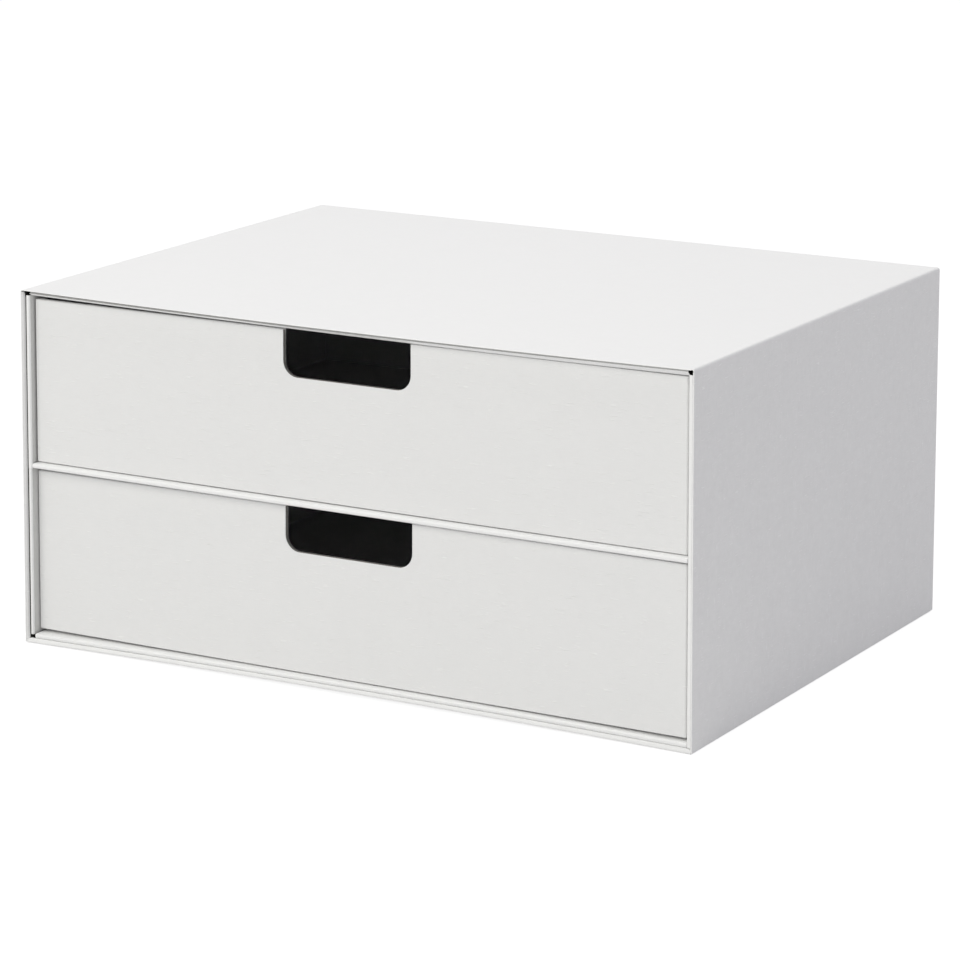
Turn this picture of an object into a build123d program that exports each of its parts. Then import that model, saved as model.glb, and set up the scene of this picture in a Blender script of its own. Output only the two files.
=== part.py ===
from build123d import *
import os

# Mini chest with two drawers, made of greyboard covered with linen paper.
# Millimetres, +X to the right, +Y to the back, +Z up, origin under the middle of the base.

# Overall sizes
case_width = 330.0
case_depth = 250.0
case_height = 160.0

# Boards and paper
paper = 0.3
outer_core = 1.9
bottom_board = 2.4
back_board = 2.2
liner_board = 2.2
divider_board = 2.2
drawer_core = 1.7

# How far the paper is turned in behind an edge
case_turn_in = 15.0
drawer_turn_in = 15.0

# Hollow corners, where the covered boards stop short of each other
right_corner_gap = 1.9
right_corner_slit = 0.3
floor_corner_step = 0.3
lower_liner_stand_off = 0.4

# Roundings of the covered edges
case_edge_radius = 0.5
seam_edge_radius = 0.35
board_edge_radius = 0.5
divider_end_radius = 0.9
drawer_corner_radius = 1.0
drawer_edge_radius = 0.5

# Drawers in their bays
front_recess = 3.5
rear_clearance = 2.0
side_clearance = 1.2
headroom = 0.75
upper_running_gap = 0.3
lower_running_gap = 0.9
upper_drawer_shift = -0.7
lower_drawer_shift = -0.3

# Finger notch, open at the drawer's top edge
notch_width = 62.7
notch_depth = 20.6
notch_radius = 7.0

# Planes of the casing that its boards share
front = -case_depth / 2
back = case_depth / 2
left = -case_width / 2
right = case_width / 2
wrapped_board = paper + outer_core + paper
left_wall_inside = left + wrapped_board
right_wall_inside = right - wrapped_board
top_inside = case_height - wrapped_board
back_inside = back - back_board
skin_inside = case_height - 2 * paper
right_wall_top = skin_inside - right_corner_gap
floor_top = bottom_board + liner_board
upper_liner_inside = left_wall_inside + liner_board
lower_liner_inside = upper_liner_inside + lower_liner_stand_off
bay_height = (top_inside - floor_top - divider_board) / 2
divider_bottom = floor_top + bay_height
divider_top = divider_bottom + divider_board

# Drawer sizes, taken from the tighter bay across and the larger running gap
drawer_width = right_wall_inside - lower_liner_inside - 2 * side_clearance
drawer_depth = case_depth - front_recess - back_board - rear_clearance
drawer_height = bay_height - lower_running_gap - headroom
drawer_wall = paper + drawer_core


def block(x_span, y_span, z_span):
    """A box between two planes on each axis."""
    size = [span[1] - span[0] for span in (x_span, y_span, z_span)]
    corner = Pos(x_span[0], y_span[0], z_span[0])
    return corner * Box(*size, align=(Align.MIN, Align.MIN, Align.MIN))


def end_edges(solid, along, at_end):
    """A block's edges along one axis that lie at its front (0) or back (-1) end."""
    return solid.edges().filter_by(along).group_by(Axis.Y)[at_end]


def outer_cores():
    """The greyboard of the left, top and right panels, inside the covering sheet."""
    depth = (front + paper, back - paper)
    return {
        "outer_left_board": block(
            (left + paper, left_wall_inside - paper), depth, (bottom_board, skin_inside)),
        "outer_top_board": block(
            (upper_liner_inside + paper, right_wall_inside - right_corner_slit - paper), depth,
            (top_inside + paper, case_height - paper)),
        "outer_right_board": block(
            (right_wall_inside + paper, right - paper), depth,
            (bottom_board, right_wall_top - paper)),
    }


def cover_sheet(cores):
    """The sheet over the panels and the bottom's ends, turned in, and bridging the corners."""
    depth = (front, back)
    whole_width = (left, right)
    sheet = block((left, left_wall_inside), depth, (bottom_board, case_height))
    sheet += block((upper_liner_inside, right_wall_inside - right_corner_slit), depth,
                   (top_inside, case_height))
    sheet += block((right_wall_inside, right), depth, (bottom_board, right_wall_top))
    sheet += block(whole_width, depth, (skin_inside, case_height))
    sheet += block((right - 2 * paper, right), depth, (right_wall_top, case_height))
    for core in cores.values():
        sheet -= core
    between_turn_ins = (front + case_turn_in, back - case_turn_in)
    sheet -= block((left + paper, right - paper), between_turn_ins,
                   (bottom_board, case_height - paper))
    sheet = round_sheet(sheet)
    beside_bottom = (front + board_edge_radius, back - board_edge_radius)
    for end in ((left, left + paper), (right - paper, right)):
        sheet += block(end, beside_bottom, (board_edge_radius, bottom_board))
    return sheet


def round_sheet(sheet):
    """Rounds the sheet's folds, its outer front and back edges and the edges beside the seams."""
    top_edges = sheet.edges().filter_by(Plane.XY).group_by(Axis.Z)[-1]
    uprights = sheet.edges().filter_by(Axis.Z)
    outer_uprights = [edge for edge in uprights if abs(edge.center().X) > right - paper / 2]
    sheet = fillet(list(top_edges) + outer_uprights, case_edge_radius)
    seam_edges = []
    for at_end in (0, -1):
        uprights = sheet.edges().filter_by(Axis.Z).group_by(Axis.Y)[at_end]
        seam_edges += [edge for edge in uprights if edge.length > case_height / 2]
        level = sheet.edges().filter_by(Axis.X).group_by(Axis.Y)[at_end]
        seam_edges += [edge for edge in level if edge.length > case_width / 2
                       and edge.center().Z < skin_inside]
    return fillet(seam_edges, seam_edge_radius)


def casing():
    """Every piece of the casing, by node name."""
    pieces = outer_cores()
    pieces["cover_sheet"] = cover_sheet(pieces)
    bottom = block((left + paper, right - paper), (front, back), (0, bottom_board))
    pieces["outer_bottom_board"] = fillet(bottom.edges(), board_edge_radius)
    pieces["back_board"] = block(
        (left_wall_inside, right_wall_inside), (back_inside, back), (bottom_board, top_inside))
    depth = (front, back_inside)
    lower_liner = block(
        (lower_liner_inside - liner_board, lower_liner_inside), depth,
        (floor_top - floor_corner_step, divider_bottom))
    upper_liner = block(
        (left_wall_inside, upper_liner_inside), depth, (divider_bottom, top_inside + paper))
    floor = block((lower_liner_inside, right_wall_inside), depth, (bottom_board, floor_top))
    divider = block((upper_liner_inside, right_wall_inside), depth, (divider_bottom, divider_top))
    front_edges = (
        ("lower_left_liner_board", lower_liner, Axis.Z),
        ("upper_left_liner_board", upper_liner, Axis.Z),
        ("floor_board", floor, Axis.X),
        ("divider_board", divider, Axis.X),
    )
    for name, board, along in front_edges:
        pieces[name] = fillet(end_edges(board, along, 0), board_edge_radius)
    divider = pieces["divider_board"]
    left_end = divider.edges().filter_by(Axis.Z).group_by(Axis.X)[0].sort_by(Axis.Y)[0]
    pieces["divider_board"] = fillet(left_end, divider_end_radius)
    return pieces


def notch_prism():
    """The finger notch, cut through a drawer's front wall and its paper."""
    outline = RectangleRounded(notch_width, 2 * notch_depth, notch_radius)
    at_front = Plane.XZ.offset(drawer_depth / 2)
    return extrude(at_front * Pos(0, drawer_height) * outline, amount=-(drawer_wall + paper))


def drawer_frame(inset):
    """A drawer's plan shrunk by an inset, as spans in x and y."""
    half_width = drawer_width / 2 - inset
    half_depth = drawer_depth / 2 - inset
    return (-half_width, half_width), (-half_depth, half_depth)


def drawer_boards():
    """The greyboard of one drawer: four walls round a base."""
    across, along = drawer_frame(paper)
    inner_across, inner_along = drawer_frame(drawer_wall)
    upright = (paper, drawer_height - paper)
    shape = block(across, along, upright)
    corners = shape.edges().filter_by(Axis.Z)
    shape = fillet(corners, drawer_corner_radius - paper)
    front_wall = shape & block(across, (along[0], inner_along[0]), upright)
    return {
        "front_board": front_wall - notch_prism(),
        "back_board": shape & block(across, (inner_along[1], along[1]), upright),
        "left_board": block((across[0], inner_across[0]), inner_along, upright),
        "right_board": block((inner_across[1], across[1]), inner_along, upright),
        "base_board": block(inner_across, inner_along, (paper, drawer_wall)),
    }


def drawer_wrap():
    """The sheet round a drawer's walls, turned in over the rim and under the base."""
    across, along = drawer_frame(0)
    shape = block(across, along, (0, drawer_height))
    shape = fillet(shape.edges().filter_by(Axis.Z), drawer_corner_radius)
    level_edges = shape.faces().filter_by(Axis.Z).edges()
    shape = fillet(level_edges, drawer_edge_radius)
    core = block(*drawer_frame(paper), (paper, drawer_height - paper))
    core = fillet(core.edges().filter_by(Axis.Z), drawer_corner_radius - paper)
    inside_rim = (drawer_height - drawer_turn_in, drawer_height)
    mouth = block(*drawer_frame(drawer_wall + paper), inside_rim)
    under_base = block(*drawer_frame(drawer_turn_in), (0, paper))
    sheet = shape - core - mouth - under_base
    sheet += block(*drawer_frame(drawer_wall), inside_rim) - mouth
    return sheet - notch_prism()


def drawer(name, bay_left, base_level, shift):
    """Every piece of one drawer, placed in its bay, by node name."""
    middle = (bay_left + right_wall_inside) / 2 + shift
    place = Pos(middle, front + front_recess + drawer_depth / 2, base_level)
    pieces = drawer_boards()
    pieces["wrap_sheet"] = drawer_wrap()
    return {f"{name}_{piece}": place * solid for piece, solid in pieces.items()}


def save(pieces):
    """Writes each piece as one solid in its own file."""
    os.makedirs("parts", exist_ok=True)
    for name, piece in pieces.items():
        export_step(piece.solid(), f"parts/{name}.step")


save(casing())
save(drawer("upper_drawer", upper_liner_inside, divider_top + upper_running_gap,
            upper_drawer_shift))
save(drawer("lower_drawer", lower_liner_inside, floor_top + lower_running_gap,
            lower_drawer_shift))
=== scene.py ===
import math

import bmesh
import bpy
from mathutils import Matrix, Vector


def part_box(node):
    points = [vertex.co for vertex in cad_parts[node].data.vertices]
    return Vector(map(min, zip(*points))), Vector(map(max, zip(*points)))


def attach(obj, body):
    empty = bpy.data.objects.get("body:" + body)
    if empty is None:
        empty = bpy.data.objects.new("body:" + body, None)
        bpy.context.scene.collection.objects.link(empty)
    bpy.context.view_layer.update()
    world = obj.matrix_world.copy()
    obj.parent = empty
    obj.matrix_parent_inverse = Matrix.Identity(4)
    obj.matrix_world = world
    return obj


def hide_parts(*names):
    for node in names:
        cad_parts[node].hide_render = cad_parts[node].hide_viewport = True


# Looks of a mini chest with two drawers, made of greyboard covered with white linen paper.
# Metres, +X to the right, +Y to the back, +Z up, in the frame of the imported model.

MM = 0.001

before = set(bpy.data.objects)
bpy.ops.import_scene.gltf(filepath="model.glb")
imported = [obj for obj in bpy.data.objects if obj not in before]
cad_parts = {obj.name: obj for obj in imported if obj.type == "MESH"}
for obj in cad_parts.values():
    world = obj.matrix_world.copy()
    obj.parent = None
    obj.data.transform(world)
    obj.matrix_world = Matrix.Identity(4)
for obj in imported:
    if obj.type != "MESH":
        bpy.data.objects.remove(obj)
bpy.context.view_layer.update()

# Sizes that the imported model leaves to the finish
PAPER = 0.3 * MM
SKIN = 2 * PAPER           # the covering sheet with its turned-in edge
SKIN_EDGE = 0.25 * MM      # rounding of the sheet's edge
SKIN_FOLD = 0.5 * MM       # inner radius of its folds
NOSE = 0.9 * MM            # rounding of a covered board's front and back edges
FULL_NOSE = 1.2 * MM       # the fuller one of the divider's front, and of the lower panels' feet
CRISP = 0.3 * MM           # rounding of a covered edge beside a joint
TIGHT = 0.12 * MM          # rounding where a board is cut square
SUPPORT = 0.4 * MM         # plain strip beside a rounding
SEAM = 0.2 * MM            # slit between two boards that meet
UPPER_SLIT = 3 * SEAM      # slit between the left wall and the upper liner
LOWER_SLIT = 1.5 * SEAM    # the same at the lower liner
STEP = 0.05 * MM           # run of a sharp step
BEND_STEP = 9 * MM         # length of a facet where a board bends

# How the casing departs from true
LEAN = 1.85 * MM           # its left side inwards at the top
RIGHT_LEAN = 1.7 * MM      # its right side
TOP_SAG = 1.2 * MM         # the top's front edge down in the middle
BASE_ARCH = 1.6 * MM       # the underside's front edge up in the middle
FLOOR_ARCH = 1.05 * MM     # the same on the floor inside
GROOVE = 0.9 * MM          # the top's front edge back under the sheet's lip, at the left end
GROOVE_RIGHT = 0.5 * MM    # the same at the right end
GROOVE_TOP = 0.3 * MM      # where that groove starts below the top, and where it ends
GROOVE_FOOT = 1.15 * MM
BAND_SLANT = 2.4 * MM      # the rest of that edge back, towards its foot
BAND_DROP = 0.9 * MM       # its foot down at the right end
DROP_START = -0.3          # where that begins, from -1 at the left end to 1 at the right
LIP_GROWTH = 0.9           # share of the sheet under its lip that the lip takes at the right end
LEFT_SLANT = 2.2 * MM      # the left wall's front edge back, towards its seam
RIGHT_SLANT = 0.4 * MM     # the right wall's front edge back, towards the bays
FOOT_SLANT = 0.5 * MM      # the bottom board's front edge back, upwards
FLOOR_BACK = 0.3 * MM      # the floor board's front edge back
DIVIDER_LIFT = 0.5 * MM    # the divider's front edge up at the left end
NICK = 1.0 * MM            # off the left wall's board beside the hollow corner, and how far down
NICK_REACH = 2.5 * MM
FRONT_REACH = 6 * MM       # depth over which the slants and the groove die away
MITRE = 1.0 * MM           # height of the slanting joint at the bottom left corner
MITRE_REACH = 12 * MM      # length over which it dies away

LOWER_LINER_TRIM = 0.6 * MM  # off the lower liner's inner face

# How each drawer sits. First, at its left end and at its right end, how far it is to the right
# of its place and how far in, how far its rim hangs and how far its foot stands up. Then how much
# more its rim and foot hang in mid-front, and how far to the right and up its notch is cut.
DRAWERS = {
    "upper_drawer": ((0.1 * MM, 0, 0.4 * MM, 0.5 * MM), (0.35 * MM, 0, 0.15 * MM, 0),
                     (0.3 * MM, -0.15 * MM), (-0.4 * MM, -0.2 * MM)),
    "lower_drawer": ((-1.1 * MM, 1.2 * MM, 0.6 * MM, 0.75 * MM),
                     (0.35 * MM, -1.2 * MM, 0.2 * MM, 0.55 * MM), (-0.35 * MM, 0.4 * MM),
                     (0.2 * MM, 0.7 * MM)),
}
EDGE_REACH = 18 * MM       # height over which a rim's hang or a foot's rise dies away
CORNER = 1.0 * MM          # radius of a drawer's corners
SQUARING = 0.7             # how far the front left one is squared, from 0 to 1
NOTCH_HALF = 40 * MM       # a finger notch lies within this much of the middle,
NOTCH_ENDS = 40 * MM       # this much away from the drawer's ends
NOTCH_FOOT = 25 * MM       # and within this much of the rim
NOTCH_SIDE = 13 * MM       # length of its straight sides
NOTCH_MOUTH = 0.1 * MM     # depth of the rim's own surface beside it
FRONT_WALL = 5 * MM        # the front wall is thinner than this

# Meshes
SAME_STATION = 1e-7        # stations nearer than this are one
WELD = 1e-6                # points nearer than this are welded
FLAT = math.radians(0.5)   # faces that turn by less than this are made one
SHARP = math.radians(50)   # an edge that turns by more than this is drawn sharp
FOLD_STEPS = 6             # facets round each fold of the covering sheet
WALL_STEPS = 8             # facets across the left wall's front edge


def stations(low, high, radii, step, extra=()):
    """Places along one axis of a rounded slab: close together in the roundings, even between."""
    turns = [1 - math.tan(math.radians(angle)) for angle in (45, 30, 15, 0)]
    found = [low + radii[0] * t for t in turns] + [high - radii[1] * t for t in turns]
    start, end = low + radii[0] + SUPPORT, high - radii[1] - SUPPORT
    if end > start:
        count = max(1, math.ceil((end - start) / step))
        found += [start + (end - start) * i / count for i in range(count + 1)]
    found += [e for e in extra if low + radii[0] < e < high - radii[1]]
    kept = []
    for value in sorted(found):
        if not kept or value - kept[-1] > SAME_STATION:
            kept.append(value)
    return kept


def slab(name, low, high, radii, steps, shape=None, extra=((), (), ()), mark=None):
    """A slab with a rounding at each end of each axis; a shape function then moves its points.

    mark gives a face's material from its side, a pair of axis and end, and its middle."""
    axes = [stations(low[a], high[a], radii[a], steps[a], extra[a]) for a in range(3)]
    counts = [len(a) for a in axes]
    index, points, faces, marks = {}, [], [], []

    def vertex(key):
        if key not in index:
            q = [axes[a][key[a]] for a in range(3)]
            inner = [min(max(q[a], low[a] + radii[a][0]), high[a] - radii[a][1]) for a in range(3)]
            sides = [int(q[a] > inner[a]) for a in range(3)]
            out = Vector([(q[a] - inner[a]) / radii[a][sides[a]] for a in range(3)])
            if out.length > 0:
                out.normalize()
            p = Vector([inner[a] + out[a] * radii[a][sides[a]] for a in range(3)])
            index[key] = len(points)
            points.append(leaned(shape(p) if shape else p))
        return index[key]

    for a in range(3):
        b, c = (a + 1) % 3, (a + 2) % 3
        for side in (0, counts[a] - 1):
            for i in range(counts[b] - 1):
                for j in range(counts[c] - 1):
                    corner = []
                    for di, dj in ((0, 0), (1, 0), (1, 1), (0, 1)):
                        key = [0, 0, 0]
                        key[a], key[b], key[c] = side, i + di, j + dj
                        corner.append(vertex(tuple(key)))
                    faces.append(corner if side else corner[::-1])
                    middle = [low[a]] * 3
                    middle[b] = (axes[b][i] + axes[b][i + 1]) / 2
                    middle[c] = (axes[c][j] + axes[c][j + 1]) / 2
                    marks.append(mark((a, int(side > 0)), middle) if mark else 0)
    return piece(name, points, faces, marks)


def piece(name, points, faces, marks=None):
    """A mesh object in the scene, smooth but for its sharp edges."""
    mesh = bpy.data.meshes.new(name)
    mesh.from_pydata(points, [], faces)
    if marks:
        mesh.polygons.foreach_set("material_index", marks)
    mesh.shade_smooth()
    mesh.set_sharp_from_angle(angle=SHARP)
    obj = bpy.data.objects.new(name, mesh)
    bpy.context.scene.collection.objects.link(obj)
    return obj


# Materials
THREAD_SHARES = (1.0, 0.25, 0.8)    # of threads that vary up, across and in depth
SLUB_SHARES = (1.0, 0.1, 0.6)       # the same for the thicker ones
SLUB_RISE = (0.15, 0.28)            # where a slub's noise begins to show, and where it is in full
THREAD_SEED, SLUB_SEED, SEED_STEP = 0.4, 5.3, 2.7
CLOUD, CLOUD_TINT = 70.0, 0.02      # scale per metre and tint of the paper's broad unevenness
MOTTLE, MOTTLE_TINT = 300.0, 0.065  # the same of its fine unevenness
# The mottle and the tints are strongest on the side faces: painted light and shade standing in for
# the relief that grazing light brings out there.
MOTTLE_LOSS = -0.045                # change of that tint on faces that run along x
STRENGTH = (1.2, -0.7, 0.5)         # of the tints: everywhere, more on faces along x, along z
RELIEF = 0.1 * MM


def add(tree, kind, operation=None, **inputs):
    """A shader node whose numbered inputs (i0, i1 ...) are values or sockets to link."""
    node = tree.nodes.new(kind)
    if operation:
        node.operation = operation
    for name, value in inputs.items():
        socket = node.inputs[int(name[1:])]
        if isinstance(value, bpy.types.NodeSocket):
            tree.links.new(value, socket)
        else:
            socket.default_value = value
    return node.outputs[0]


def noise(tree, coords, scale, detail, location=(0, 0, 0)):
    """A noise whose grain is stretched by a scale along each axis."""
    moved = add(tree, "ShaderNodeMapping", i0=coords, i1=location, i3=scale)
    texture = tree.nodes.new("ShaderNodeTexNoise")
    texture.inputs["Scale"].default_value = 1.0
    texture.inputs["Detail"].default_value = detail
    tree.links.new(moved, texture.inputs["Vector"])
    return texture.outputs["Fac"]


def centred(tree, value):
    """A noise's value less a half, its mean."""
    return add(tree, "ShaderNodeMath", "SUBTRACT", i0=value, i1=0.5)


def even_noise(tree, coords, scale):
    """A noise of the same grain along each axis, about zero."""
    return centred(tree, noise(tree, coords, [scale] * 3, 2.0))


def total(tree, parts):
    """The sum of (value, weight) pairs."""
    result = 0.0
    for value, weight in parts:
        result = add(tree, "ShaderNodeMath", "MULTIPLY_ADD", i0=value, i1=weight, i2=result)
    return result


def thread_noises(tree, coords, along, fine, run, detail, seed):
    """Threads that vary up, across and in depth, each only on the faces that it runs along."""
    noises = []
    for axis in (2, 0, 1):
        scale = [run, run, run]
        scale[axis] = fine
        level = centred(tree, noise(tree, coords, scale, detail, [seed + SEED_STEP * axis] * 3))
        noises.append(add(tree, "ShaderNodeMath", "MULTIPLY", i0=level, i1=along[axis]))
    return noises


def risen(tree, value):
    """0 where a slub's noise is low, rising smoothly to 1."""
    spread = tree.nodes.new("ShaderNodeMapRange")
    spread.interpolation_type = "SMOOTHSTEP"
    spread.inputs["From Min"].default_value = SLUB_RISE[0]
    spread.inputs["From Max"].default_value = SLUB_RISE[1]
    tree.links.new(value, spread.inputs["Value"])
    return spread.outputs["Result"]


def paper(name, colour, weave, slubs, roughness=0.8, specular=0.25):
    """Paper embossed like linen: a fine even weave with a thicker thread here and there.

    weave is the threads' scale and run per metre, their tint and their relief, and slubs is the
    same for the thicker ones."""
    material = bpy.data.materials.new(name)
    material.use_nodes = True
    tree = material.node_tree
    shader = tree.nodes["Principled BSDF"]
    shader.inputs["Roughness"].default_value = roughness
    shader.inputs["Specular IOR Level"].default_value = specular
    place = tree.nodes.new("ShaderNodeTexCoord")
    coords = place.outputs["Object"]
    axes = tree.nodes.new("ShaderNodeSeparateXYZ")
    tree.links.new(place.outputs["Normal"], axes.inputs[0])
    along = []
    for output in axes.outputs:
        size = add(tree, "ShaderNodeMath", "ABSOLUTE", i0=output)
        along.append(add(tree, "ShaderNodeMath", "SUBTRACT", i0=1.0, i1=size))
    fine, run, tint, relief = weave
    noises = thread_noises(tree, coords, along, fine, run, 2.0, THREAD_SEED)
    threads = total(tree, zip(noises, THREAD_SHARES))
    fine, run, slub_tint, slub_relief = slubs
    noises = thread_noises(tree, coords, along, fine, run, 1.0, SLUB_SEED)
    slub = total(tree, [(risen(tree, n), share) for n, share in zip(noises, SLUB_SHARES)])
    cloud = even_noise(tree, coords, CLOUD)
    mottle = even_noise(tree, coords, MOTTLE)
    shade = total(tree, [(threads, tint), (slub, slub_tint), (cloud, CLOUD_TINT)])
    # Stronger tints on the side faces: painted light and shade of the relief under grazing light.
    strength = total(tree, zip((1.0, along[0], along[2]), STRENGTH))
    spots = add(tree, "ShaderNodeMath", "MULTIPLY_ADD", i0=mottle,
                i1=total(tree, [(1.0, MOTTLE_TINT), (along[0], MOTTLE_LOSS)]), i2=1.0)
    plus = add(tree, "ShaderNodeMath", "MULTIPLY_ADD", i0=shade, i1=strength, i2=spots)
    tinted = tree.nodes.new("ShaderNodeVectorMath")
    tinted.operation = "SCALE"
    tinted.inputs[0].default_value = colour
    tree.links.new(plus, tinted.inputs["Scale"])
    tree.links.new(tinted.outputs[0], shader.inputs["Base Color"])
    bump = tree.nodes.new("ShaderNodeBump")
    bump.inputs["Strength"].default_value = 1.0
    bump.inputs["Distance"].default_value = RELIEF
    tree.links.new(total(tree, [(threads, relief), (slub, slub_relief)]), bump.inputs["Height"])
    tree.links.new(bump.outputs["Normal"], shader.inputs["Normal"])
    return material


# Scale, run, tint and relief of the linen's threads and slubs and of the greyboard's grain
WEAVE = (1900.0, 260.0, 0.03, 0.35)
SLUBS = (1400.0, 190.0, 0.075, 0.9)
BOARD = (2500.0, 250.0, 0.5, 0.5)
FLAKES = (2500.0, 300.0, 0.4, 0.5)
# One linen paper in two copies: the casing's is painted lighter, as painted light on its open
# front edges, and the drawers' is painted darker, as painted shade on their fronts in the recess.
linen = paper("casing_linen_painted_light", (0.92, 0.92, 0.915), WEAVE, SLUBS)
drawer_linen_painted_shade = paper("drawer_linen_painted_shade", (0.84, 0.84, 0.835), WEAVE, SLUBS)
lining = paper("plain_lining", (0.93, 0.93, 0.94),
               (500.0, 400.0, 0.02, 0.15), (700.0, 300.0, 0.01, 0.1))
grey = paper("cut_greyboard", (0.215, 0.208, 0.195), BOARD, FLAKES, roughness=0.9)
# Near-black painted shade: it lies on glued sides out of sight, and on the board and sheet sides
# that show in the hollow corners and in the seam beside the left wall's front.
hollow_shade = paper("hollow_painted_shade", (0.03, 0.029, 0.027), BOARD, FLAKES, roughness=0.9)
# Grey painted shade in the groove under the sheet's lip along the top's front edge, and on the
# sheet's front edge below the lip at the corners.
groove_shade = paper("groove_painted_shade", (0.58, 0.58, 0.57), WEAVE, (1400.0, 190.0, 0.02, 0.3))
# Grey painted shade on the liners' inner faces, which stand in the recess beside the drawers.
bay_side_shade = paper("bay_side_painted_shade", (0.65, 0.65, 0.635),
                   (500.0, 400.0, 0.03, 0.15), (700.0, 300.0, 0.02, 0.1))

# Places of the casing's materials on each of its pieces
LINEN, HOLLOW_SHADE, GROOVE_SHADE, BAY_SIDE_SHADE = range(4)
PLAIN_SHARE = 0.75         # of the left wall's front, with a strip of near-black painted shade beyond it, beside the seam
DARK_REACH = 3 * MM        # how far the near-black painted shade on the sheet's underside shows down the right wall


def dress(obj, *materials):
    """Gives a new object its materials."""
    for material in materials:
        obj.data.materials.append(material)


# Casing

case_low, case_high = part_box("cover_sheet")
half_width = case_high.x
half_depth = case_high.y
sheet_foot = case_low.z
top_level = case_high.z
bottom_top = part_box("outer_bottom_board")[1].z
floor_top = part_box("floor_board")[1].z
top_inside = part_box("outer_top_board")[0].z - PAPER
wall = half_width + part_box("outer_left_board")[1].x + PAPER


def leaned(p):
    """The sides lean inwards towards the top, with all that is between them."""
    lean = LEAN if p.x < 0 else RIGHT_LEAN
    return Vector((p.x * (1 - lean * p.z / (top_level * half_width)), p.y, p.z))


def front_share(y):
    """1 at the front edge, falling to 0 at the back."""
    return ((half_depth - y) / (2 * half_depth)) ** 2


def span_share(x):
    """1 in the middle of the width, 0 at both ends."""
    return 1 - (x / half_width) ** 2


def edge_share(y):
    """1 in the front edge, falling to 0 a few millimetres behind it."""
    return min(1, max(0, (FRONT_REACH - half_depth - y) / (FRONT_REACH - NOSE - SUPPORT)))


def slant(x):
    """How far the front edge of a side wall falls back at a place across it."""
    if x < 0:
        return LEFT_SLANT * ((x + half_width) / wall) ** 2
    return RIGHT_SLANT * (half_width - x) / wall


def groove_depth(x):
    """How deep the groove under the sheet's lip is at a place across the top."""
    return GROOVE + (GROOVE_RIGHT - GROOVE) * (x + half_width) / (2 * half_width)


def mitre_share(x):
    """1 at the left end of the bottom board, falling to 0 along it."""
    return max(0, 1 - (x + half_width - SKIN) / MITRE_REACH)


def sagged(p):
    """The top panel hangs a little at the middle of its front edge."""
    return Vector((p.x, p.y, p.z - TOP_SAG * span_share(p.x) * front_share(p.y)))


def arched(p):
    """The bottom panels lift a little at the middle of their front edge."""
    lift = BASE_ARCH + (FLOOR_ARCH - BASE_ARCH) * p.z / floor_top
    return Vector((p.x, p.y, p.z + lift * span_share(p.x) * front_share(p.y)))


def floor_board(p):
    """The floor board, its front edge a little behind the bottom board's."""
    return arched(Vector((p.x, p.y + FLOOR_BACK * edge_share(p.y), p.z)))


def divider(p):
    """The divider, its front edge lifting towards the left."""
    lift = DIVIDER_LIFT * ((1 - p.x / half_width) / 2) ** 2 * front_share(p.y)
    return Vector((p.x, p.y, p.z + lift))


def top_board(p):
    """The top board, set back in the groove under the sheet's lip and slanting below it."""
    band_top = top_level - GROOVE_FOOT
    foot = max(0, (band_top - p.z) / (band_top - top_inside))
    if p.z > band_top:
        back = groove_depth(p.x) * min(1, (p.z - band_top) / STEP)
    else:
        back = BAND_SLANT * foot
    drop_share = max(0, p.x / half_width - DROP_START) / (1 - DROP_START)
    drop = BAND_DROP * foot * drop_share * front_share(p.y)
    return sagged(Vector((p.x, p.y + back * edge_share(p.y), p.z - drop)))


def bottom_board(p):
    """The bottom board, its front slanting and its left end cut to meet the wall."""
    inwards = (wall - SKIN) * max(0, p.z - bottom_top + MITRE) / MITRE * mitre_share(p.x)
    back = FOOT_SLANT * p.z / bottom_top * edge_share(p.y)
    return arched(Vector((p.x + inwards, p.y + back, p.z)))


def left_wall(p):
    """The left wall's board, its front edge slanting and its foot cut to meet the bottom board."""
    outwards = (wall - half_width - p.x) / (wall - SKIN)
    share = max(0, 1 - (p.z - bottom_top) / MITRE_REACH)
    nick = NICK * (1 - outwards) * max(0, 1 - (top_level - SKIN - p.z) / NICK_REACH)
    return Vector((p.x - nick, p.y + slant(p.x) * edge_share(p.y), p.z - MITRE * outwards * share))


def right_wall(p):
    """The right wall's board, its front edge slanting."""
    return Vector((p.x, p.y + slant(p.x) * edge_share(p.y), p.z))


# The covering sheet laid flat: up the left wall, round a fold, across the top and down again
sheet_up = top_level - SKIN - SKIN_FOLD - sheet_foot
sheet_fold = SKIN_FOLD * math.pi / 2
sheet_across = 2 * (half_width - SKIN - SKIN_FOLD)
lip = SKIN - GROOVE_TOP    # where its lip begins, from its inner side


def lip_place(out, along):
    """The lip grows towards the right end, where it takes up nearly all of the thickness."""
    moved = lip * (1 - LIP_GROWTH * along)
    if out < lip:
        return out * moved / lip
    return moved + (out - lip) * (SKIN - moved) / GROOVE_TOP


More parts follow.
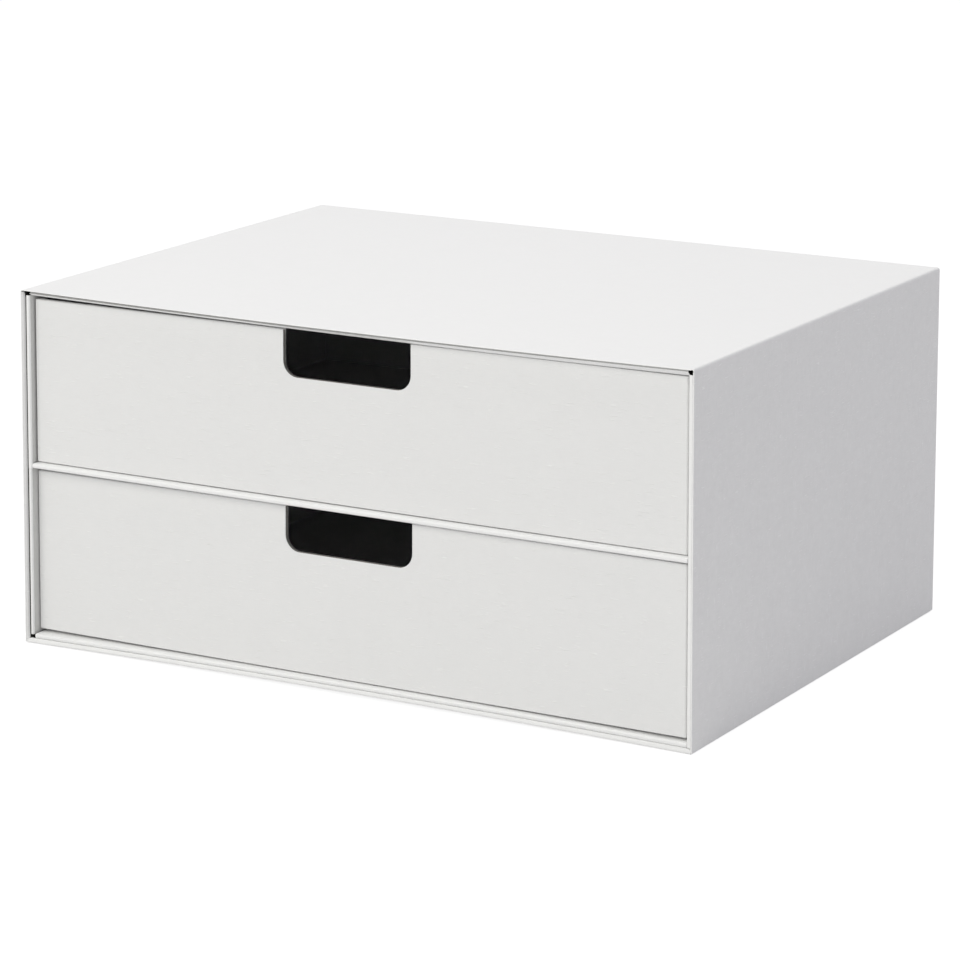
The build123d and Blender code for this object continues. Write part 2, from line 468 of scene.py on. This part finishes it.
def skin_path(p):
    """Bends a flat strip, lying along x from 0, up, over and down round the three panels."""
    s, y, out = p
    top_start = sheet_up + sheet_fold
    top_end = top_start + sheet_across
    down_start = top_end + sheet_fold
    centre_x, centre_z = half_width - SKIN - SKIN_FOLD, top_level - SKIN - SKIN_FOLD
    reach = SKIN_FOLD + out
    top_share = min(1, max(0, min(s - sheet_up, down_start - s) / sheet_fold))
    angle = top_share * math.pi / 2
    if s < sheet_up:
        x, z = -half_width + SKIN - out, sheet_foot + s
    elif s < top_start:
        x, z = -centre_x - reach * math.cos(angle), centre_z + reach * math.sin(angle)
    elif s < top_end:
        x, z = -centre_x + s - top_start, top_level - SKIN + out
    elif s < down_start:
        x, z = centre_x + reach * math.cos(angle), centre_z + reach * math.sin(angle)
    else:
        x, z = half_width - SKIN + out, centre_z - (s - down_start)
    groove = groove_depth(x) * min(1, max(0, (lip - out) / STEP))
    back = groove * top_share + slant(x) * (1 - top_share)
    if top_share == 1:
        z = top_level - SKIN + lip_place(out, (x + half_width) / (2 * half_width))
    moved = Vector((x, y + back * edge_share(y), z))
    return sagged(moved) if top_share == 1 else moved


def skin():
    """The sheet over the left, top and right panels."""
    length = 2 * (sheet_up + sheet_fold) + sheet_across
    folds = []
    for start in (sheet_up, sheet_up + sheet_fold + sheet_across):
        folds += [start + sheet_fold * i / FOLD_STEPS for i in range(FOLD_STEPS + 1)]
        folds += [start - SUPPORT, start + sheet_fold + SUPPORT]
    radii = ((TIGHT, TIGHT), (SKIN_EDGE, SKIN_EDGE), (TIGHT / 2, SKIN_EDGE))

    def mark(side, middle):
        # The sheet's front edge below the lip at the corners gets grey painted shade.
        if side == (1, 0) and folds[0] < middle[0] < folds[-1] and middle[2] < lip:
            return GROOVE_SHADE
        # The sheet's underside by the folds, where the hollow corners show, gets near-black
        # painted shade.
        under_top = side == (2, 0) and folds[0] < middle[0] < folds[-1] + DARK_REACH
        return HOLLOW_SHADE if under_top else LINEN

    obj = slab("linen_cover", (0, -half_depth, 0), (length, half_depth, SKIN), radii,
               (BEND_STEP, BEND_STEP, 1), skin_path,
               (folds, (FRONT_REACH - half_depth,), (lip - STEP, lip)), mark)
    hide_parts("cover_sheet")
    return obj


def covered(name, node, radii, grow=((0, 0), (0, 0), (0, 0)), shape=None, extra=((), ()),
            mark=None):
    """A paper-covered board in a CAD board's place, grown at the low and high end of each axis.

    radii are its roundings at those ends, extra its further stations across and up."""
    low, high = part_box(node)
    low = [low[a] - grow[a][0] for a in range(3)]
    high = [high[a] + grow[a][1] for a in range(3)]
    obj = slab(name, low, high, radii, (BEND_STEP, BEND_STEP, BEND_STEP), shape,
               (extra[0], (FRONT_REACH - half_depth,), extra[1]), mark)
    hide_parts(node)
    return obj


def shade_marks(*sides, shaded_side=None, start=0):
    """Marks a board's glued sides with near-black painted shade from a distance behind the front,
    and one side with grey painted shade.
    """
    def mark(side, middle):
        if side == shaded_side and middle[1] > NOSE - half_depth:
            return BAY_SIDE_SHADE
        return HOLLOW_SHADE if side in sides and middle[1] > start - half_depth else LINEN
    return mark


def left_marks(side, middle):
    """Marks the left wall's glued sides and the strip of its front edge beside the seam with
    near-black painted shade.
    """
    if side == (1, 0):
        return HOLLOW_SHADE if middle[0] > PLAIN_SHARE * wall - half_width else LINEN
    return HOLLOW_SHADE if side in ((0, 1), (2, 1)) else LINEN


def top_marks(side, middle):
    """Marks the top board's glued sides with near-black painted shade, and the part of its front
    edge in the groove with grey painted shade.
    """
    if side == (1, 0) and middle[2] > top_level - GROOVE_FOOT:
        return GROOVE_SHADE
    return HOLLOW_SHADE if side in ((0, 0), (0, 1), (2, 1)) else LINEN


nose, full, square = (NOSE, NOSE), (FULL_NOSE, NOSE), (TIGHT, TIGHT)
over = (PAPER, PAPER)
across_left = [-half_width + wall * i / WALL_STEPS for i in range(2, WALL_STEPS)]
casing = [
    skin(),
    covered("linen_left_board", "outer_left_board", (square, nose, square),
            ((-PAPER, PAPER), over, (0, -PAPER)), left_wall,
            (across_left, (bottom_top + MITRE_REACH, top_level - SKIN - NICK_REACH)),
            left_marks),
    covered("linen_top_board", "outer_top_board", (square, nose, (NOSE, TIGHT)),
            (over, over, (PAPER, -PAPER)), top_board,
            ((), (top_level - GROOVE_FOOT, top_level - GROOVE_FOOT + STEP)), top_marks),
    covered("linen_right_board", "outer_right_board", ((CRISP, TIGHT), nose, square),
            ((PAPER, -PAPER), over, (-SEAM, PAPER)), right_wall, mark=shade_marks((2, 0), (2, 1))),
    covered("linen_bottom_board", "outer_bottom_board", (square, nose, (FULL_NOSE, CRISP)),
            ((-PAPER, -PAPER), (0, 0), (0, 0)), bottom_board,
            ((MITRE_REACH - half_width + SKIN,), (bottom_top - MITRE,)), shade_marks((2, 1), start=NOSE)),
    covered("linen_floor_board", "floor_board", (square, nose, (FULL_NOSE, NOSE)),
            ((0, 0), (0, 0), (-SEAM / 2, 0)), floor_board, mark=shade_marks((0, 0))),
    covered("linen_upper_liner", "upper_left_liner_board", ((TIGHT, 2 * CRISP), nose, square),
            ((-UPPER_SLIT, 0), (0, 0), (0, 0)), mark=shade_marks((0, 0), (2, 1), shaded_side=(0, 1))),
    covered("linen_lower_liner", "lower_left_liner_board", ((TIGHT, 2 * CRISP), nose, square),
            ((-LOWER_SLIT, -LOWER_LINER_TRIM), (0, 0), (0, 0)),
            mark=shade_marks((0, 0), (2, 0), shaded_side=(0, 1))),
    covered("linen_divider", "divider_board", ((NOSE, TIGHT), full, nose), shape=divider),
]
for obj in casing:
    dress(obj, linen, hollow_shade, groove_shade, bay_side_shade)
    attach(obj, "casing")


def shaped_copy(node, name, shape):
    """A CAD piece's mesh with its flat faces whole again and its points moved."""
    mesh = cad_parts[node].data
    made = bmesh.new()
    made.from_mesh(mesh)
    bmesh.ops.remove_doubles(made, verts=made.verts, dist=WELD)
    bmesh.ops.dissolve_limit(made, angle_limit=FLAT, verts=made.verts, edges=made.edges)
    for vertex in made.verts:
        vertex.co = leaned(shape(vertex.co))
    result = bpy.data.meshes.new(name)
    made.to_mesh(result)
    made.free()
    result.shade_smooth()
    result.set_sharp_from_angle(angle=SHARP)
    obj = bpy.data.objects.new(name, result)
    bpy.context.scene.collection.objects.link(obj)
    smooth = obj.modifiers.new("even_normals", "WEIGHTED_NORMAL")
    smooth.keep_sharp = True
    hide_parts(node)
    return obj


back_board = shaped_copy("back_board", "linen_back_board", lambda p: p)
dress(back_board, linen)
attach(back_board, "casing")


# Drawers

def squared(p, centre_x, centre_y):
    """Squares a round front left corner whose centre is given."""
    dx, dy = centre_x - p.x, centre_y - p.y
    if dx <= 0 or dy <= 0:
        return p
    grow = 1 + SQUARING * (math.hypot(dx, dy) / max(dx, dy) - 1)
    return Vector((centre_x - dx * grow, centre_y - dy * grow, p.z))


def notch_moved(p, low, high, sideways, upwards):
    """Moves the points of a drawer's finger notch, and of nothing else."""
    depth = high.z - p.z
    aside = abs(p.x - (low.x + high.x) / 2)
    if aside > NOTCH_HALF or depth > NOTCH_FOOT or p.y > low.y + FRONT_WALL:
        return p
    return Vector((p.x + sideways, p.y, p.z + upwards * min(1, max(0, depth / NOTCH_SIDE))))


def seated(low, high, left_end, right_end, hangs, notch):
    """Moves a drawer's points to how it sits between its walls and how its rim and foot bend."""
    def shape(p):
        p = notch_moved(squared(p, low.x + CORNER, low.y + CORNER), low, high, *notch)
        along = (p.x - low.x) / (high.x - low.x)
        aside, deeper, hang, lift = [a + (b - a) * along for a, b in zip(left_end, right_end)]
        middle = span_share(p.x) * front_share(p.y)
        rim = max(0, 1 - (high.z - p.z) / EDGE_REACH) * (hang + hangs[0] * middle)
        foot = max(0, 1 - (p.z - low.z) / EDGE_REACH) * (lift - hangs[1] * middle)
        return Vector((p.x + aside, p.y + deeper, p.z - rim + foot))
    return shape


def mark_cut(obj, material_index):
    """Gives the faces of the finger notch's cut the material of bare board."""
    top = max(v.co.z for v in obj.data.vertices)
    left = min(v.co.x for v in obj.data.vertices)
    right = max(v.co.x for v in obj.data.vertices)
    for face in obj.data.polygons:
        at = face.center
        between_ends = left + NOTCH_ENDS < at.x < right - NOTCH_ENDS
        below_rim = top - NOTCH_FOOT < at.z < top - NOTCH_MOUTH
        cuts_through = abs(face.normal.y) < 0.5
        if between_ends and below_rim and cuts_through:
            face.material_index = material_index


PARTS = ("wrap_sheet", "front_board", "back_board", "left_board", "right_board", "base_board")

for body, setting in DRAWERS.items():
    shape = seated(*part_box(f"{body}_wrap_sheet"), *setting)
    for part in PARTS:
        node = f"{body}_{part}"
        wrap = part == "wrap_sheet"
        obj = shaped_copy(node, f"{body}_linen_wrap" if wrap else f"{node}_lined", shape)
        if wrap:
            dress(obj, drawer_linen_painted_shade)
        else:
            dress(obj, lining, grey)
            if part == "front_board":
                mark_cut(obj, 1)
        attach(obj, body)


# Floor, light and camera
FLOOR_HALF = 12.0          # half the floor's width
FLOOR_COLOUR = 0.8         # of the floor that lights the object
SHADOW_COLOUR = 0.25       # of the floor that the camera sees, over a glow of this strength
FLOOR_GLOW = 0.86
PICTURE = 960              # the photograph's width in pixels
FOCAL_LENGTH = 3964.9      # in the same pixels
SENSOR = 36


def camera_and_glossy(tree):
    """1 for a ray that shows the background: from the camera, a reflection or glass."""
    path = tree.nodes.new("ShaderNodeLightPath")
    seen = path.outputs["Is Camera Ray"]
    for name in ("Is Glossy Ray", "Is Transmission Ray"):
        node = tree.nodes.new("ShaderNodeMath")
        node.operation = "MAXIMUM"
        tree.links.new(seen, node.inputs[0])
        tree.links.new(path.outputs[name], node.inputs[1])
        seen = node.outputs[0]
    return seen


def make_floor():
    """A wide white floor that keeps a faint shadow of the object."""
    far = FLOOR_HALF
    floor = piece("floor", [(-far, -far, 0), (far, -far, 0), (far, far, 0), (-far, far, 0)],
                  [(0, 1, 2, 3)])
    material = bpy.data.materials.new("floor_white")
    material.use_nodes = True
    tree = material.node_tree
    tree.nodes.clear()
    plain = tree.nodes.new("ShaderNodeBsdfDiffuse")
    plain.inputs["Color"].default_value = (*[FLOOR_COLOUR] * 3, 1)
    faint = tree.nodes.new("ShaderNodeBsdfDiffuse")
    faint.inputs["Color"].default_value = (*[SHADOW_COLOUR] * 3, 1)
    glow = tree.nodes.new("ShaderNodeEmission")
    glow.inputs["Strength"].default_value = FLOOR_GLOW
    both = tree.nodes.new("ShaderNodeAddShader")
    tree.links.new(faint.outputs[0], both.inputs[0])
    tree.links.new(glow.outputs[0], both.inputs[1])
    mix = tree.nodes.new("ShaderNodeMixShader")
    tree.links.new(camera_and_glossy(tree), mix.inputs["Fac"])
    tree.links.new(plain.outputs[0], mix.inputs[1])
    tree.links.new(both.outputs[0], mix.inputs[2])
    output = tree.nodes.new("ShaderNodeOutputMaterial")
    tree.links.new(mix.outputs[0], output.inputs["Surface"])
    floor.data.materials.append(material)


def make_world(colour, strength):
    """Even light of a colour, and a white background for the camera."""
    world = bpy.data.worlds.new("studio")
    bpy.context.scene.world = world
    world.use_nodes = True
    tree = world.node_tree
    tree.nodes.clear()
    ambient = tree.nodes.new("ShaderNodeBackground")
    ambient.inputs["Color"].default_value = (*colour, 1)
    ambient.inputs["Strength"].default_value = strength
    white = tree.nodes.new("ShaderNodeBackground")
    white.inputs["Color"].default_value = (1, 1, 1, 1)
    white.inputs["Strength"].default_value = 1.0
    mix = tree.nodes.new("ShaderNodeMixShader")
    tree.links.new(camera_and_glossy(tree), mix.inputs["Fac"])
    tree.links.new(ambient.outputs[0], mix.inputs[1])
    tree.links.new(white.outputs[0], mix.inputs[2])
    output = tree.nodes.new("ShaderNodeOutputWorld")
    tree.links.new(mix.outputs[0], output.inputs["Surface"])


def softbox(name, place, target, size, energy, colour):
    """A rectangular area lamp that looks at a point."""
    light = bpy.data.lights.new(name, "AREA")
    light.shape = "RECTANGLE"
    light.size, light.size_y = size
    light.energy = energy
    light.color = colour
    obj = bpy.data.objects.new(name, light)
    obj.location = place
    obj.rotation_mode = "QUATERNION"
    obj.rotation_quaternion = (Vector(target) - Vector(place)).to_track_quat("-Z", "Y")
    bpy.context.scene.collection.objects.link(obj)


make_floor()
make_world((1.0, 0.99, 1.05), 0.453)
aim = (0, 0, 0.08)
softbox("key", (-0.84, -2.31, 1.8), aim, (2.4, 1.6), 37, (1.0, 1.0, 0.92))
softbox("overhead", (0.0, 0.3, 2.6), aim, (2.2, 2.2), 19.5, (1.0, 1.0, 0.97))

camera_data = bpy.data.cameras.new("camera")
camera_data.sensor_width = SENSOR
camera_data.lens = FOCAL_LENGTH / PICTURE * SENSOR
camera_data.clip_start = 0.05
camera = bpy.data.objects.new("camera", camera_data)
right = Vector((0.872953249, 0.487790827, 0.003568616))
down = Vector((0.119705702, -0.207122560, -0.970963846))
ahead = Vector((-0.472888116, 0.848033227, -0.239199655))
camera.matrix_world = (Matrix.Translation((0.837293, -1.507664, 0.492956))
                       @ Matrix((right, -down, -ahead)).transposed().to_4x4())
bpy.context.scene.collection.objects.link(camera)
bpy.context.scene.camera = camera
bpy.context.scene.view_settings.view_transform = "Standard"
